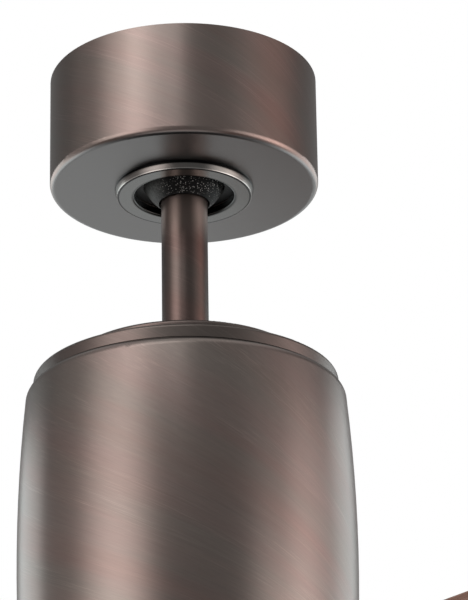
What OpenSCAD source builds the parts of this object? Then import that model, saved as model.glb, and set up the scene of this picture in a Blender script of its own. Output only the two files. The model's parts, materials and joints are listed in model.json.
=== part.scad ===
// Three-blade ceiling fan with a cylindrical canopy and a barrel-shaped motor housing.
// The origin is on the ceiling, in the middle of the mounting plate. +Z points up, in millimetres.
// The fixed parts hang below the origin on a hanger ball; the rotor turns about the Z axis.

/* [Canopy] */
// Outer diameter of the canopy
canopy_d = 148; // [140:1:180]
// Height of the canopy
canopy_h = 65; // [60:1:80]
// Wall of the canopy
canopy_wall = 1.2; // [0.8:0.1:2]
// Radius of the canopy's lower edge
canopy_edge_r = 3.4; // [2.6:0.2:6]
// Gap between the ceiling and the canopy's rim
ceiling_gap = 1; // [0.5:0.5:3]
// Outer diameter of the ring that covers the canopy screws
ring_d = 76.6; // [74:0.2:84]
// Height of that ring
ring_h = 4.4; // [4.2:0.2:7]
// Opening of that ring, around the ball
ring_bore_d = 54.6; // [54:0.2:56]

/* [Hanger bracket] */
// Length of the mounting plate
plate_l = 112; // [106:1:126]
// Width of the mounting plate
plate_w = 44; // [36:1:50]
// Thickness of the bracket's sheet
bracket_t = 2.5; // [2:0.1:3]
// Distance between the two mounting slots
slot_spacing = 88.9; // [86:0.1:92]
// Length of a mounting slot, end to end
slot_l = 12; // [9:0.5:13]
// Width of a mounting slot
slot_w = 5.5; // [4.5:0.1:6.5]
// Distance between the outer faces of the bracket's legs
leg_span = 72; // [68:1:73]

/* [Ball and downrod] */
// Diameter of the hanger ball
ball_d = 48; // [44:0.5:50]
// Height of the ball's centre above the canopy's underside
ball_rise = 11; // [9:0.5:13]
// Outer diameter of the downrod
rod_d = 25.4; // [22:0.1:27]
// Wall of the downrod
rod_wall = 2; // [1.5:0.1:3]
// Wall of the coupling around the downrod
coupling_wall = 6.8; // [5:0.2:9]
// Length of the downrod
rod_l = 160; // [150:1:600]

/* [Housing] */
// Distance from the top cap's edge to the coupling cover's edge
cover_step = 18; // [16:0.5:24]
// Height of the coupling cover
cover_h = 9.9; // [9:0.1:12]
// Distance that the barrel's shoulder stands out past the top cap
cap_step = 4.1; // [3:0.1:7]
// Height of the top cap's band
cap_h = 7.5; // [7:0.1:12]
// Largest diameter of the barrel
barrel_d = 180.6; // [178:0.2:200]
// Height of the barrel
barrel_h = 174; // [165:1:200]
// Depth of the barrel's widest place below its top
barrel_widest = 91; // [80:1:100]
// Radius of the barrel's bulging wall, seen from the side
barrel_bulge_r = 930; // [800:10:2000]
// Radius of the barrel's shoulder
shoulder_r = 5.5; // [3:0.5:6.5]
// Wall of the sheet metal covers
cover_wall = 1.2; // [0.8:0.1:1.6]
// Height of the switch housing under the rotor
switch_h = 28; // [26:1:40]
// Distance that the hub's edge stands out past the switch housing
switch_step = 1; // [0:0.5:3]
// Radius of the switch housing's lower edge
switch_edge_r = 14; // [8:1:16]
// Diameter of the cap under the switch housing
foot_cap_d = 78; // [60:1:90]

/* [Motor] */
// Diameter of the motor shaft
shaft_d = 17; // [15:0.5:18]
// Bore of the motor shaft, for the wires
shaft_bore_d = 10; // [6:0.5:11]
// Distance between the rotor and the barrel's wall
motor_gap = 21; // [18:0.5:26]
// Height of the motor
motor_h = 70; // [66:1:76]
// Height of the stack of laminations
stack_h = 20; // [14:1:26]
// Air gap between stator and rotor
air_gap = 0.6; // [0.4:0.1:1]
// Number of poles on the stator
pole_count = 12; // [8:1:12]
// Number of balls in a bearing
ball_count = 8; // [6:1:9]

/* [Blades] */
// Diameter of the circle that the blade tips sweep
sweep_d = 1422; // [1000:1:1600]
// Distance between the hub's edge and a blade's inner end
blade_gap = 36; // [32:1:48]
// Width of a blade at its inner end
root_chord = 92; // [86:1:104]
// Width of a blade at its widest place
wide_chord = 138; // [116:1:160]
// Width of a blade near its tip
tip_chord = 112; // [90:1:136]
// Thickness of a blade
blade_t = 6.5; // [5:0.1:9]
// Pitch of a blade at its inner end, in degrees
blade_pitch = 13; // [8:0.5:16]
// Twist of a blade from its inner end to its tip, in degrees
blade_twist = 3; // [0:0.5:5]
// Hollow of a blade's underside
blade_camber = 4; // [0:0.5:8]
// Direction of the first blade from +X, in degrees
first_blade = -40; // [-90:0.5:0]
// Height of the hub's band that shows under the barrel
hub_show = 21; // [20:0.5:26]
// Distance between the hub's edge and the barrel's wall
hub_gap = 1.4; // [1:0.1:3]

/* [Hidden] */

$fn = 96;
cut = 1;
fit_gap = 0.3;
slide_gap = 0.1;

// Colours, as the photograph shows them
bronze = [0.36, 0.31, 0.28];
pale_bronze = [0.50, 0.44, 0.40];
blade_brown = [0.50, 0.37, 0.32];
black = [0.08, 0.08, 0.08];
steel = [0.68, 0.68, 0.70];
zinc = [0.78, 0.78, 0.74];
cast_grey = [0.55, 0.56, 0.58];
copper = [0.72, 0.38, 0.18];
green = [0.15, 0.45, 0.20];

// Levels, from the ceiling down
z_rim = -ceiling_gap;
z_canopy = z_rim - canopy_h;
z_ring = z_canopy - ring_h;
z_ball = z_canopy + ball_rise;
ball_flat = ball_d / 2 - 9;
rod_above_ball = ball_flat + 3;
z_rod_top = z_ball + rod_above_ball;
z_rod_end = z_rod_top - rod_l;
pin_from_end = 19.3;
z_pin = z_rod_end + pin_from_end;
cap_below_pin = 2.8;
z_cap = z_pin - cap_below_pin;
z_cover = z_cap + cover_h;
z_shell = z_cap - cap_h;
z_barrel_end = z_shell - barrel_h;
z_widest = z_shell - barrel_widest;
z_hub_end = z_barrel_end - hub_show;
hub_inside = 4;
cap_seam = 0.2;
z_hub_top = z_barrel_end + hub_inside;
z_motor_mid = z_hub_top + motor_h / 2;
switch_gap = 1.5;
z_switch = z_hub_end - switch_gap;
z_switch_end = z_switch - switch_h;

// Barrel: the wall's radius at a level
bulge_x = barrel_d / 2 - barrel_bulge_r;
z_shoulder = z_shell - cap_seam - shoulder_r;
function barrel_x(z) = bulge_x + sqrt(pow(barrel_bulge_r, 2) - pow(z - z_widest, 2));

// Radii
rod_r = rod_d / 2;
ball_r = ball_d / 2;
canopy_r = canopy_d / 2;
shaft_r = shaft_d / 2;
cap_r = barrel_x(z_shoulder) - cap_step;
cover_r = cap_r - cover_step;
rotor_r = barrel_x(z_motor_mid) - cover_wall - motor_gap;
hub_r = barrel_x(z_barrel_end) - cover_wall - hub_gap;
switch_r = hub_r - switch_step;
blade_root = hub_r + blade_gap;
bracket_r = leg_span / 2 + bracket_t;

// Canopy screws, hidden by the ring
canopy_screw_d = 4;
canopy_screw_head_d = 6;
canopy_screw_turn = [45, 225];
canopy_hole_r = ring_bore_d / 2 + 1;
ring_wall = 0.9;
ring_face_t = 1.6;
ring_roll = 1.2;
ring_seam = 0.3;
ring_curve_r = 10.6;
ring_lean = 5;
canopy_screw_inset = 0.6;
canopy_screw_r = (ring_d + ring_bore_d) / 4 - canopy_screw_inset;

// Bracket
z_seat = z_canopy + canopy_wall + fit_gap;
socket_wall = 3;
socket_rise = 4;
rod_slot_w = rod_d + 2.6;
locating_pin_d = 3.2;
leg_w = 30;
bend_r = 2 * bracket_t;
leg_slot_l = 22;
leg_slot_w = 9;
wire_hole_r = 15;
ground_screw_at = [27, 13];

// Ball and its fasteners
cross_pin_d = 6.4;
cross_pin_rise = ball_flat - 1;
set_screw_d = 4;
groove_w = locating_pin_d + 1;
groove_depth = 2.6;
pin_gap = 0.9;
mouth_r = rod_r + 1.4;
mouth_depth = 3;

// Coupling
coupling_r = rod_r + coupling_wall;
coupling_top = 4.2;
coupling_fillet = 5;
cap_hole_r = coupling_r + 10.5;
cap_screw_r = cap_hole_r + 8;
cap_screw_d = 5;
flange_r = cap_screw_r + 8;
flange_t = 5;
flange_hole_r = (flange_r - coupling_r - coupling_fillet) / 2 - 3;
coupling_below_rod = 16;
shaft_socket = 12;
z_coupling_end = z_rod_end - coupling_below_rod;
z_flange = z_cap - cover_wall;
clevis_d = 6;
clevis_reach = coupling_r + 4.5;

// Caps and shell
cap_edge_r = 1.8;
spigot_r = cap_r - cap_edge_r;
shell_flange_in = flange_r + 4;
housing_screw_r = spigot_r - 10;
housing_screw_d = 3.5;

// Motor
bearing_w = 12;
bearing_out_r = shaft_r + 11.5;
bearing_mid_r = (shaft_r + bearing_out_r) / 2;
race_t = 3.4;
bearing_ball_r = 3.3;
rotor_wall = 3;
ring_out_r = rotor_r - rotor_wall;
ring_in_r = ring_out_r - 10.4;
stator_r = ring_in_r - air_gap;
rotor_top = motor_h / 2;
rotor_slope = 8;
rotor_flat_r = rotor_r - 15;
ear_r = rotor_r + 4;
vent_r = 4;
vent_at_r = (bearing_out_r + rotor_flat_r) / 2 + 4;
vent_count = 6;
rotor_screw_d = 4;
z_bearing = rotor_top - 1.5 - bearing_w / 2;
bar_count = 24;
stator_hub_r = 26;
pole_w = 6;
pole_tip_t = 3.2;
coil_t = 3.6;
coil_rise = 5;
coil_gap = 0.3;

// Hub and blade arms
hub_wall = 2.5;
hub_web = 5;
hub_hole_r = bearing_out_r + 4;
z_web = z_hub_top - hub_web;
arm_w = 34;
arm_top_gap = 9.75;
z_arm_top = z_barrel_end - arm_top_gap;
arm_t = 6.5;
z_arm_end = z_arm_top - arm_t;
z_blade = z_arm_end + blade_t / 2;
pad_t = 4;
pad_l = 62;
pad_w = 66;
pad_tip_r = 14;
pad_ear_r = 8;
pad_overlap = 6;
arm_step_r = hub_r - 12;
arm_in_r = arm_step_r - 36;
arm_lap = 12;
arm_bend = 21;
arm_screw_at = [arm_in_r + 10, arm_step_r - 10];
arm_screw_d = 5;
arm_screw_sink = 5;
hub_screw_r = vent_at_r + 2;
hub_screw_d = 4;
blade_screw_at = [[14, -21], [14, 21], [46, 0]];
blade_screw_d = 4.5;
blade_turns = [first_blade, first_blade + 120, first_blade + 240];

// Switch housing
z_plate = z_switch - 2;
plate_t = 1.5;
z_shaft_top = z_coupling_end + shaft_socket;
z_shaft_end = z_plate - 12;
nut_r = 14;
nut_t = 4.5;
capacitor_w = 24;
capacitor_l = 42;
capacitor_h = 16;
capacitor_gap = 6;
tab_turns = [30, 150, 270];
tab_w = 16;
tab_h = 11;
tab_screw_d = 3.5;
z_tab_screw = z_plate - 6;
slider_travel = 5;
slider_w = 5;
slider_h = 3.4;
slider_reach = 2.4;
z_slider = z_switch - 9;
foot_hole_r = foot_cap_d / 2 - 3;
foot_cap_h = 3.5;

// A ring or tube between two levels
module ring(r_out, r_in, z_top, z_end) {
    translate([0, 0, z_end])
        difference() {
            cylinder(r = r_out, h = z_top - z_end);
            translate([0, 0, -cut])
                cylinder(r = r_in, h = z_top - z_end + 2 * cut);
        }
}

// A round bar along X, from x0 to x1
module bar_x(r, x0, x1) {
    translate([x0, 0, 0])
        rotate([0, 90, 0])
            cylinder(r = r, h = x1 - x0, $fn = 32);
}

// A rectangle with round corners, about the origin
module round_rect(w, h, r) {
    square([w - 2 * r, h], center = true);
    square([w, h - 2 * r], center = true);
    for (x = [-1, 1], y = [-1, 1])
        translate([x * (w / 2 - r), y * (h / 2 - r)])
            circle(r = r, $fn = 32);
}

// A screw whose head's seat is at the origin: the shank points along -Z and the head along +Z
module screw(d, l, head_d, head_h) {
    edge = head_h / 3;
    translate([0, 0, -l])
        cylinder(d = d, h = l + head_h / 2, $fn = 32);
    rotate_extrude($fn = 32)
        polygon([[0, 0], [head_d / 2, 0], [head_d / 2, head_h - edge], [head_d / 2 - edge, head_h], [0, head_h]]);
}

// Half of the section of a cup that stands on z = 0, with a round lower edge
module cup_section(r, h, edge) {
    translate([0, edge])
        square([r, h - edge]);
    square([r - edge, h]);
    translate([r - edge, edge])
        circle(r = edge);
}

// A cup with an even wall, open at the top
module cup(r, h, wall, edge) {
    rotate_extrude()
        difference() {
            intersection() {
                cup_section(r, h, edge);
                square([r + cut, h]);
            }
            translate([0, wall])
                intersection() {
                    cup_section(r - wall, h, max(edge - wall, 0.2));
                    square([r + cut, h + cut]);
                }
        }
}

// Ceiling side

// A long hole with round ends, along X
module slot(l, w) {
    square([l - w, w], center = true);
    for (side = [-1, 1])
        translate([side * (l - w) / 2, 0])
            circle(d = w, $fn = 48);
}

module mounting_slots() {
    for (side = [-1, 1])
        translate([side * slot_spacing / 2, 0])
            slot(slot_l, slot_w);
}

// The bracket's strap seen from the side: two legs with round bends into the bottom
module strap_section(inset) {
    half = leg_span / 2 - inset;
    bend = bend_r - inset;
    z_low = z_seat + inset;
    translate([-half, z_low + bend])
        square([2 * half, -z_low - bend]);
    translate([-half + bend, z_low])
        square([2 * (half - bend), -z_low]);
    for (side = [-1, 1])
        translate([side * (half - bend), z_low + bend])
            circle(r = bend, $fn = 48);
}

// An upright long hole through both legs
module leg_slots() {
    translate([0, 0, (z_seat - bracket_t) / 2])
        rotate([90, 90, 90])
            linear_extrude(leg_span + 2 * cut, center = true)
                slot(leg_slot_l, leg_slot_w);
}

// The seat that holds the ball, with the slot that the downrod slides in by
module ball_seat() {
    difference() {
        union() {
            intersection() {
                translate([0, 0, z_seat])
                    cylinder(r = bracket_r, h = bracket_t);
                translate([0, 0, z_seat])
                    cube([leg_span - 2 * bend_r, 2 * bracket_r, 4 * bracket_t], center = true);
            }
            translate([0, 0, z_seat])
                cylinder(r = ball_r + fit_gap + socket_wall, h = z_ball + socket_rise - z_seat);
        }
        translate([0, 0, z_ball]) {
            sphere(r = ball_r + fit_gap);
            cylinder(r = ball_r + fit_gap, h = socket_rise + cut);
        }
        translate([-rod_slot_w / 2, 0, z_seat - cut])
            cube([rod_slot_w, 2 * bracket_r, z_ball + socket_rise - z_seat + 2 * cut]);
        for (turn = canopy_screw_turn)
            rotate([0, 0, turn])
                translate([canopy_screw_r, 0, z_seat - cut])
                    cylinder(d = canopy_screw_d, h = bracket_t + 2 * cut, $fn = 32);
    }
}

module hanger_bracket() {
    pin_in = ball_r - groove_depth + pin_gap;
    pin_out = ball_r + fit_gap + socket_wall / 2;
    color(black) {
        translate([0, 0, -bracket_t])
            linear_extrude(bracket_t)
                difference() {
                    round_rect(plate_l, plate_w, 5);
                    mounting_slots();
                    circle(r = wire_hole_r);
                    translate(ground_screw_at)
                        circle(d = canopy_screw_d, $fn = 32);
                }
        difference() {
            rotate([90, 0, 0])
                linear_extrude(leg_w, center = true)
                    difference() {
                        strap_section(0);
                        strap_section(bracket_t);
                    }
            leg_slots();
            translate([0, 0, z_ball])
                sphere(r = ball_r + fit_gap);
            translate([-rod_slot_w / 2, 0, z_seat - cut])
                cube([rod_slot_w, leg_w, 2 * bracket_t]);
        }
        ball_seat();
        translate([0, 0, z_ball])
            bar_x(locating_pin_d / 2, pin_in, pin_out);
    }
}

module ground_screw() {
    color(green)
        translate([ground_screw_at[0], ground_screw_at[1], -bracket_t])
            mirror([0, 0, 1])
                screw(canopy_screw_d, bracket_t - 0.3, 8, 2.4);
}

module canopy() {
    color(bronze)
        difference() {
            translate([0, 0, z_canopy])
                cup(canopy_r, canopy_h, canopy_wall, canopy_edge_r);
            translate([0, 0, z_canopy - cut])
                cylinder(r = canopy_hole_r, h = 4 * canopy_wall + cut);
            for (turn = canopy_screw_turn)
                rotate([0, 0, turn])
                    translate([canopy_screw_r, 0, z_canopy - cut])
                        cylinder(d = canopy_screw_d + 0.4, h = 4 * canopy_wall, $fn = 32);
        }
}

module canopy_screws() {
    color(steel)
        for (turn = canopy_screw_turn)
            rotate([0, 0, turn])
                translate([canopy_screw_r, 0, z_canopy])
                    mirror([0, 0, 1])
                        screw(canopy_screw_d, canopy_wall + fit_gap + bracket_t + 2, canopy_screw_head_d, 2.4);
}

// A ring with a domed outer edge and a rolled inner edge, hollow behind for the screw heads
module canopy_trim_ring() {
    out_r = ring_d / 2;
    in_r = ring_bore_d / 2;
    dome_x = out_r - ring_curve_r * cos(ring_lean);
    dome_z = ring_h + ring_curve_r * sin(ring_lean);
    hollow_in_r = in_r + ring_wall;
    hollow_out_r = canopy_screw_r + canopy_screw_head_d / 2 + fit_gap;
    color(pale_bronze)
        translate([0, 0, z_ring])
            rotate_extrude()
                difference() {
                    intersection() {
                        union() {
                            translate([in_r, ring_roll])
                                square([out_r - in_r, ring_h - ring_roll]);
                            translate([in_r + ring_roll, 0])
                                square([out_r - in_r - ring_roll, ring_h]);
                            translate([in_r + ring_roll, ring_roll])
                                circle(r = ring_roll, $fn = 48);
                        }
                        translate([dome_x, dome_z])
                            circle(r = ring_curve_r);
                    }
                    translate([dome_x + sqrt(pow(ring_curve_r, 2) - pow(dome_z, 2)), 0])
                        circle(r = ring_seam, $fn = 24);
                    translate([hollow_in_r, ring_face_t])
                        square([hollow_out_r - hollow_in_r, ring_h]);
                }
}

// Ball and downrod

module hanger_ball() {
    color(black)
        translate([0, 0, z_ball])
            difference() {
                sphere(r = ball_r);
                translate([0, 0, -ball_d])
                    cylinder(r = rod_r + slide_gap, h = 2 * ball_d);
                translate([0, 0, -ball_d])
                    cylinder(r = mouth_r, h = ball_d - sqrt(pow(ball_r, 2) - pow(mouth_r, 2)) + mouth_depth);
                translate([-ball_d, -ball_d, ball_flat])
                    cube([2 * ball_d, 2 * ball_d, ball_d]);
                translate([0, 0, cross_pin_rise])
                    bar_x(cross_pin_d / 2 + slide_gap, -ball_d, ball_d);
                translate([ball_r - groove_depth, -groove_w / 2, -ball_r])
                    cube([ball_r, groove_w, ball_r + groove_w]);
                rotate([0, 0, 90])
                    bar_x(set_screw_d / 2 + slide_gap, 0, ball_d);
            }
}

module ball_cross_pin() {
    reach = sqrt(pow(ball_r, 2) - pow(ball_flat, 2));
    color(steel)
        translate([0, 0, z_ball + cross_pin_rise])
            bar_x(cross_pin_d / 2, -reach, reach);
}

module ball_set_screw() {
    color(steel)
        translate([0, 0, z_ball])
            rotate([0, 0, 90])
                bar_x(set_screw_d / 2, rod_r + slide_gap, ball_r - 1);
}

module downrod() {
    color(bronze)
        difference() {
            ring(rod_r, rod_r - rod_wall, z_rod_top, z_rod_end);
            translate([0, 0, z_ball + cross_pin_rise])
                bar_x(cross_pin_d / 2 + slide_gap, -rod_d, rod_d);
            translate([0, 0, z_pin])
                bar_x(clevis_d / 2 + slide_gap, -rod_d, rod_d);
        }
}

// Coupling between downrod and motor shaft

module motor_coupling() {
    z_top = z_pin + coupling_top;
    color(cast_grey)
        difference() {
            union() {
                translate([0, 0, z_coupling_end])
                    cylinder(r = coupling_r, h = z_top - z_coupling_end);
                translate([0, 0, z_flange - flange_t])
                    cylinder(r = flange_r, h = flange_t);
                translate([0, 0, z_flange - flange_t - coupling_fillet])
                    cylinder(r1 = coupling_r, r2 = coupling_r + coupling_fillet, h = coupling_fillet);
            }
            translate([0, 0, z_rod_end - 0.5])
                cylinder(r = rod_r + slide_gap, h = z_top - z_rod_end + cut);
            translate([0, 0, z_coupling_end - cut])
                cylinder(r = shaft_r, h = shaft_socket + cut);
            translate([0, 0, z_coupling_end])
                cylinder(r = shaft_bore_d / 2, h = rod_l / 2);
            translate([0, 0, z_pin]) {
                bar_x(clevis_d / 2 + slide_gap, -2 * coupling_r, 2 * coupling_r);
                rotate([0, 0, 90])
                    bar_x(set_screw_d / 2, -2 * coupling_r, 2 * coupling_r);
            }
            for (turn = [45 : 90 : 315])
                rotate([0, 0, turn])
                    translate([cap_screw_r, 0, z_flange - flange_t - cut])
                        cylinder(d = cap_screw_d, h = flange_t + 2 * cut, $fn = 32);
            for (turn = [0 : 90 : 270])
                rotate([0, 0, turn])
                    translate([(coupling_r + coupling_fillet + flange_r) / 2, 0, z_flange - flange_t - cut])
                        cylinder(r = flange_hole_r, h = flange_t + 2 * cut, $fn = 48);
        }
}

module clevis_pin() {
    color(steel)
        translate([0, 0, z_pin])
            difference() {
                union() {
                    bar_x(clevis_d / 2, -coupling_r - 0.2, clevis_reach);
                    bar_x(clevis_d / 2 + 0.8, -coupling_r - 2.4, -coupling_r - 0.2);
                }
                translate([clevis_reach - 2.5, 0, 0])
                    rotate([0, 0, 90])
                        bar_x(1, -clevis_d, clevis_d);
            }
}

module hairpin_clip() {
    wire_r = 0.9;
    leg = 8;
    loop_r = (clevis_d / 2 + wire_r + 0.1) / 2;
    color(zinc)
        translate([clevis_reach - 2.5, 0, z_pin]) {
            rotate([0, 0, 90])
                bar_x(wire_r, -leg, leg);
            translate([0, 0, 2 * loop_r])
                rotate([0, 0, 90])
                    bar_x(wire_r, -leg, leg);
            translate([0, leg, loop_r])
                rotate([90, 0, 90])
                    rotate_extrude(angle = 180, start = -90, $fn = 32)
                        translate([loop_r, 0])
                            circle(r = wire_r);
        }
}

module coupling_set_screws() {
    color(steel)
        translate([0, 0, z_pin])
            for (turn = [90, 270])
                rotate([0, 0, turn])
                    bar_x(set_screw_d / 2, rod_r + slide_gap, coupling_r + 6);
}

module coupling_lock_nuts() {
    color(zinc)
        translate([0, 0, z_pin])
            for (turn = [90, 270])
                rotate([0, 0, turn])
                    translate([coupling_r, 0, 0])
                        rotate([0, 90, 0])
                            difference() {
                                cylinder(r = 4, h = 3, $fn = 6);
                                translate([0, 0, -cut])
                                    cylinder(d = set_screw_d, h = 3 + 2 * cut, $fn = 32);
                            }
}

module coupling_cover() {
    color(bronze)
        translate([0, 0, z_cover])
            mirror([0, 0, 1])
                difference() {
                    cup(cover_r, cover_h, cover_wall, cap_edge_r);
                    translate([0, 0, -cut])
                        cylinder(r = rod_r + 2.6, h = 4 * cover_wall);
                }
}

module cover_gasket() {
    in_r = rod_r + slide_gap;
    lip = 1.1;
    color(black)
        translate([0, 0, z_cover])
            rotate_extrude()
                polygon([
                    [in_r, -cover_wall - lip], [in_r + 4.4, -cover_wall - lip], [in_r + 4.4, -cover_wall],
                    [in_r + 2.4, -cover_wall], [in_r + 2.4, 0], [in_r + 4.4, 0], [in_r + 3.4, lip], [in_r, lip]
                ]);
}

// Housing

module top_cap() {
    color(bronze)
        translate([0, 0, z_cap])
            mirror([0, 0, 1])
                difference() {
                    cup(cap_r, cap_h, cover_wall, cap_edge_r);
                    translate([0, 0, -cut])
                        cylinder(r = cap_hole_r, h = 4 * cover_wall);
                    for (turn = [45 : 90 : 315])
                        rotate([0, 0, turn]) {
                            translate([cap_screw_r, 0, -cut])
                                cylinder(d = cap_screw_d + 0.4, h = 4 * cover_wall, $fn = 32);
                            translate([housing_screw_r, 0, -cut])
                                cylinder(d = housing_screw_d + 0.4, h = 4 * cover_wall, $fn = 32);
                        }
                }
}

module cap_screws() {
    color(steel)
        for (turn = [45 : 90 : 315])
            rotate([0, 0, turn])
                translate([cap_screw_r, 0, z_cap])
                    screw(cap_screw_d, cover_wall + flange_t, 9, 3);
}

// Half of the section of the barrel's solid form, drawn in from its surface by inset
module barrel_section(inset) {
    intersection() {
        translate([bulge_x, z_widest])
            circle(r = barrel_bulge_r - inset, $fn = 720);
        translate([0, z_barrel_end - inset])
            square([barrel_d, z_shoulder - z_barrel_end + inset]);
    }
    translate([barrel_x(z_shoulder) - shoulder_r, z_shoulder])
        circle(r = shoulder_r - inset);
    translate([0, z_shoulder - cut])
        square([barrel_x(z_shoulder) - shoulder_r, shoulder_r - inset + cut]);
}

module housing_shell() {
    z_top = z_shoulder + shoulder_r;
    color(bronze)
        difference() {
            rotate_extrude() {
                difference() {
                    barrel_section(0);
                    barrel_section(cover_wall);
                    translate([0, z_top - 2 * cover_wall])
                        square([spigot_r - cover_wall, 4 * cover_wall]);
                }
                translate([spigot_r - cover_wall, z_top - cover_wall])
                    square([cover_wall, z_flange - z_top + cover_wall]);
                translate([shell_flange_in, z_flange - cover_wall])
                    square([spigot_r - shell_flange_in, cover_wall]);
            }
            for (turn = [45 : 90 : 315])
                rotate([0, 0, turn])
                    translate([housing_screw_r, 0, z_flange - 2 * cover_wall])
                        cylinder(d = housing_screw_d, h = 4 * cover_wall, $fn = 32);
        }
}

module housing_screws() {
    color(steel)
        for (turn = [45 : 90 : 315])
            rotate([0, 0, turn])
                translate([housing_screw_r, 0, z_cap])
                    screw(housing_screw_d, 2 * cover_wall + 3, 7, 2.2);
}

// Motor, fixed side

module motor_shaft() {
    color(steel)
        ring(shaft_r, shaft_bore_d / 2, z_shaft_top, z_shaft_end);
}

module stator_core() {
    color(cast_grey)
        translate([0, 0, z_motor_mid - stack_h / 2])
            linear_extrude(stack_h)
                difference() {
                    union() {
                        circle(r = stator_hub_r);
                        for (i = [0 : pole_count - 1])
                            rotate(i * 360 / pole_count) {
                                translate([stator_hub_r - cut, -pole_w / 2])
                                    square([stator_r - stator_hub_r - pole_tip_t / 2 + cut, pole_w]);
                                intersection() {
                                    difference() {
                                        circle(r = stator_r);
                                        circle(r = stator_r - pole_tip_t);
                                    }
                                    translate([0, -stator_r * 2.4 / pole_count])
                                        square([stator_r + cut, stator_r * 4.8 / pole_count]);
                                }
                            }
                    }
                    circle(r = shaft_r);
                }
}

module stator_windings() {
    in_w = pole_w + 2 * coil_gap;
    in_h = stack_h + 2 * coil_gap;
    coil_in_r = stator_hub_r + 2.6;
    coil_l = stator_r - pole_tip_t - 0.6 - coil_in_r;
    color(copper)
        translate([0, 0, z_motor_mid])
            for (i = [0 : pole_count - 1])
                rotate([0, 0, i * 360 / pole_count])
                    translate([coil_in_r, 0, 0])
                        rotate([90, 0, 90])
                            linear_extrude(coil_l)
                                difference() {
                                    round_rect(in_w + 2 * coil_t, in_h + 2 * coil_rise, coil_t);
                                    square([in_w, in_h], center = true);
                                }
}

// Balls run in a round groove in each race
module race_groove() {
    rotate_extrude()
        translate([bearing_mid_r, 0])
            circle(r = bearing_ball_r + fit_gap, $fn = 48);
}

module at_bearings() {
    for (side = [-1, 1])
        translate([0, 0, z_motor_mid + side * z_bearing])
            children();
}

module bearing_inner_races() {
    color(steel)
        at_bearings()
            difference() {
                ring(shaft_r + race_t, shaft_r, bearing_w / 2, -bearing_w / 2);
                race_groove();
            }
}

module bearing_outer_races() {
    color(steel)
        at_bearings()
            difference() {
                ring(bearing_out_r, bearing_out_r - race_t, bearing_w / 2, -bearing_w / 2);
                race_groove();
            }
}

module bearing_balls(side) {
    cage_t = 0.9;
    cage_w = 8.4;
    color(zinc)
        translate([0, 0, z_motor_mid + side * z_bearing]) {
            for (i = [0 : ball_count - 1])
                rotate([0, 0, i * 360 / ball_count])
                    translate([bearing_mid_r, 0, 0])
                        sphere(r = bearing_ball_r, $fn = 48);
            difference() {
                ring(bearing_mid_r + cage_t, bearing_mid_r - cage_t, cage_w / 2, -cage_w / 2);
                for (i = [0 : ball_count - 1])
                    rotate([0, 0, i * 360 / ball_count])
                        bar_x(bearing_ball_r + slide_gap, shaft_r, bearing_out_r);
            }
        }
}

module upper_bearing_balls() {
    bearing_balls(1);
}

module lower_bearing_balls() {
    bearing_balls(-1);
}

module shaft_circlips() {
    clip_t = 1.2;
    color(black)
        for (side = [-1, 1])
            translate([0, 0, z_motor_mid + side * (z_bearing - bearing_w / 2 - clip_t / 2)])
                difference() {
                    ring(shaft_r + 2.4, shaft_r, clip_t / 2, -clip_t / 2);
                    translate([0, -1.5, -clip_t])
                        cube([shaft_d, 3, 2 * clip_t]);
                }
}

// Motor, turning side

module at_rotor_screws() {
    for (turn = [0 : 90 : 270])
        rotate([0, 0, turn])
            translate([ear_r, 0, 0])
                children();
}

// A rotor cover in its own frame: z = 0 is the motor's middle and z = rotor_top its outer face
module rotor_cover() {
    boss_h = bearing_w + 1.5;
    shoulder = rotor_top - rotor_slope;
    color(cast_grey)
        difference() {
            union() {
                rotate_extrude()
                    polygon([
                        [ring_out_r, 0], [rotor_r, 0], [rotor_r, shoulder],
                        [rotor_flat_r, rotor_top], [bearing_out_r - 3, rotor_top],
                        [bearing_out_r - 3, rotor_top - 1.5], [bearing_out_r, rotor_top - 1.5],
                        [bearing_out_r, rotor_top - boss_h], [bearing_out_r + 3.5, rotor_top - boss_h],
                        [bearing_out_r + 5, rotor_top - rotor_wall],
                        [rotor_flat_r - 1.2, rotor_top - rotor_wall], [ring_out_r, shoulder - 1.2]
                    ]);
                at_rotor_screws()
                    cylinder(r = 5, h = 9, $fn = 32);
            }
            cylinder(r = ring_out_r, h = stack_h / 2 + 4);
            at_rotor_screws()
                translate([0, 0, -cut])
                    cylinder(d = rotor_screw_d, h = 20, $fn = 32);
            for (i = [0 : vent_count - 1])
                rotate([0, 0, first_blade + i * 360 / vent_count])
                    translate([vent_at_r, 0, rotor_top - 2 * rotor_wall])
                        cylinder(r = vent_r, h = 3 * rotor_wall, $fn = 32);
        }
}

module rotor_upper_cover() {
    translate([0, 0, z_motor_mid])
        rotor_cover();
}

module rotor_lower_cover() {
    translate([0, 0, z_motor_mid])
        mirror([0, 0, 1])
            difference() {
                rotor_cover();
                at_hub_screws()
                    translate([0, 0, rotor_top - 2 * rotor_wall])
                        cylinder(d = hub_screw_d, h = 3 * rotor_wall, $fn = 32);
            }
}

module rotor_bars(r) {
    for (i = [0 : bar_count - 1])
        rotate([0, 0, i * 360 / bar_count])
            translate([ring_in_r + 3.4, 0, -stack_h / 2 - cut / 2])
                cylinder(r = r, h = stack_h + cut, $fn = 24);
}

module rotor_ring() {
    color(steel)
        translate([0, 0, z_motor_mid])
            difference() {
                ring(ring_out_r, ring_in_r, stack_h / 2, -stack_h / 2);
                rotor_bars(2.1);
            }
}

module rotor_cage() {
    color(zinc)
        translate([0, 0, z_motor_mid]) {
            rotor_bars(2);
            for (side = [-1, 1])
                translate([0, 0, side * (stack_h / 2 + 1.6)])
                    ring(ring_in_r + 6.4, ring_in_r + 0.6, 1.5, -1.5);
        }
}

module rotor_screws() {
    color(steel)
        translate([0, 0, z_motor_mid + 9])
            at_rotor_screws()
                screw(rotor_screw_d, 16, 7.5, 3);
}

// Hub and blades

module at_blades() {
    for (turn = blade_turns)
        rotate([0, 0, turn])
            children();
}

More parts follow.
